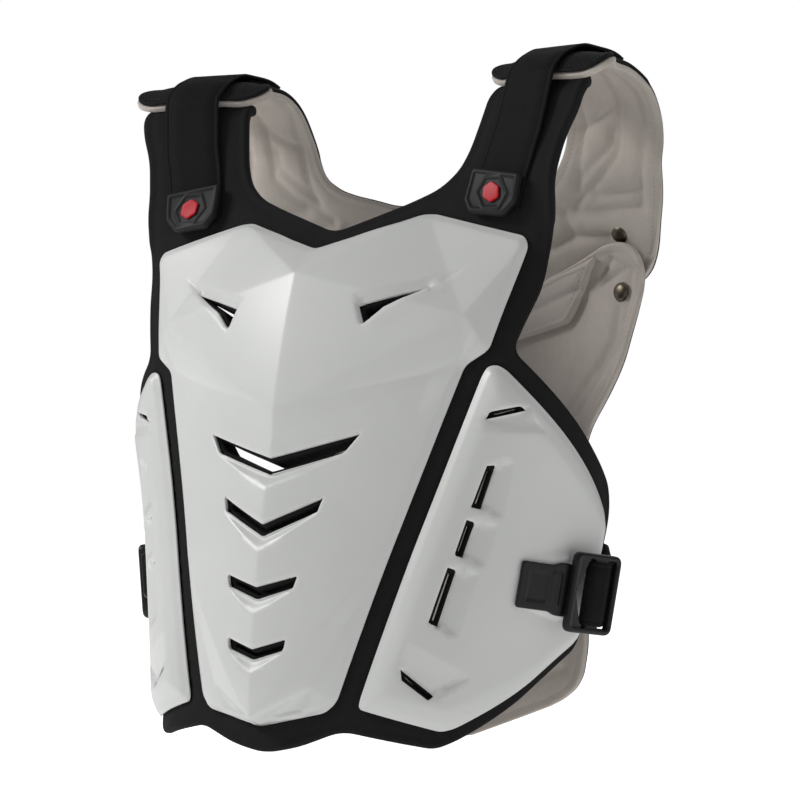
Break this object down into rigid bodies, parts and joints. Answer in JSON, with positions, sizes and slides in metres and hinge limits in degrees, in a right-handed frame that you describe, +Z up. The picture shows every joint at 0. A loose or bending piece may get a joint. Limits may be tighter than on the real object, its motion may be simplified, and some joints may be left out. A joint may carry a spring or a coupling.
{
  "type": "motorcycle armour vest",
  "caption": "Motorcycle armour vest: white moulded chest and side shells on a black pad, padded back with wings over the shoulders, webbing straps and waist buckles.",
  "frame": {"origin": "on the middle plane, midway between the two shoulders and level with the inside of the shoulder wings at their crest, where the vest sits on the shoulders", "axes": "+Z up, -Y the way the wearer faces, +X towards the wearer's left"},
  "size_m": [0.398, 0.3236, 0.5039],
  "materials": {
    "shell": "satin white moulded plastic",
    "pad": "matt black cloth over foam",
    "lining": "matt grey-beige moulded cloth",
    "webbing": "matt black woven webbing",
    "rubber": "satin black moulded rubber",
    "badge": "satin red rubber",
    "plastic": "satin black plastic",
    "snap": "antique bronze finish"
  },
  "bodies": {
    "root": {"front_pad": "pad", "front_shell": "shell", "upper_back": "pad", "upper_back_lining": "lining", "lower_back": "pad", "lower_back_lining": "lining", "back_flap": "lining", "side_shell_left": "shell", "shoulder_strap_left": "webbing", "strap_band_left": "webbing", "strap_tab_left": "rubber", "tab_badge_left": "badge", "buckle_tongue_left": "plastic", "buckle_frame_left": "plastic", "waist_strap_left": "webbing", "snap_upper_left": "snap", "snap_lower_left": "snap", "side_shell_right": "shell", "shoulder_strap_right": "webbing", "strap_band_right": "webbing", "strap_tab_right": "rubber", "tab_badge_right": "badge", "buckle_tongue_right": "plastic", "buckle_frame_right": "plastic", "waist_strap_right": "webbing", "snap_upper_right": "snap", "snap_lower_right": "snap"}
  },
  "joints": []
}
